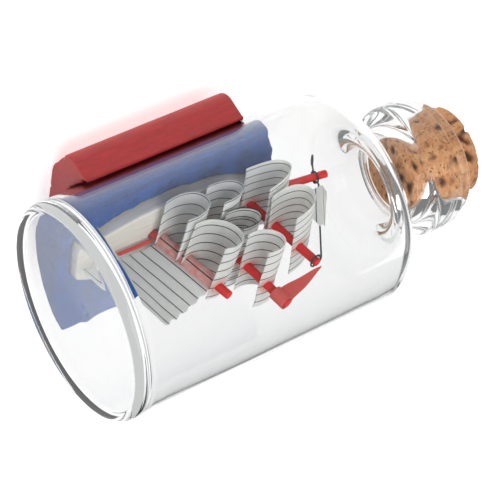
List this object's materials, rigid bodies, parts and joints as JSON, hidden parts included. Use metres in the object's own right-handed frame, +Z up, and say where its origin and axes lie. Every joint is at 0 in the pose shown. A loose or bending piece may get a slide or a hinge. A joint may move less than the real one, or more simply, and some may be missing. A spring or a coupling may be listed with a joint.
{
  "type": "ship in a bottle",
  "caption": "Small corked glass bottle lying on a painted wooden cradle, with a paper-sailed model ship set in a clay sea inside it.",
  "frame": {"origin": "under the middle of the whole length, on the surface that the cradle stands on", "axes": "+X along the bottle from its base to its cork, +Y to the ship's port side, +Z up"},
  "size_m": [0.0962, 0.047, 0.0521],
  "materials": {
    "glass": "clear, smooth, fire-polished",
    "cork": "natural cork, sanded, with dark pits",
    "cradle_paint": "red paint, satin, with the grain and small chips showing",
    "spar_paint": "thin red paint, satin",
    "hull_paint": "off-white paint, half gloss",
    "modelling_clay": "kneaded blue clay, smooth where it is pressed to the glass",
    "ruled_paper": "thin white paper with dark ruled lines",
    "red_paper": "thin red paper",
    "thread": "waxed dark grey thread"
  },
  "bodies": {
    "bottle": {"stand": "cradle_paint", "bottle": "glass", "sea": "modelling_clay", "hull": "hull_paint", "bowsprit": "spar_paint", "spanker_boom": "spar_paint", "mizzen_mast": "spar_paint", "main_mast": "spar_paint", "fore_mast": "spar_paint", "mizzen_course": "ruled_paper", "mizzen_topsail": "ruled_paper", "main_course": "ruled_paper", "main_topsail": "ruled_paper", "main_topgallant": "ruled_paper", "fore_course": "ruled_paper", "fore_topsail": "ruled_paper", "spanker": "ruled_paper", "jib": "ruled_paper", "pennant": "red_paper", "forestay": "thread"},
    "cork": {"cork": "cork"}
  },
  "joints": [
    {"name": "cork_pull", "type": "slide", "parent": "bottle", "child": "cork", "axis": [1, 0, 0], "range_m": [0, 0.02]}
  ]
}
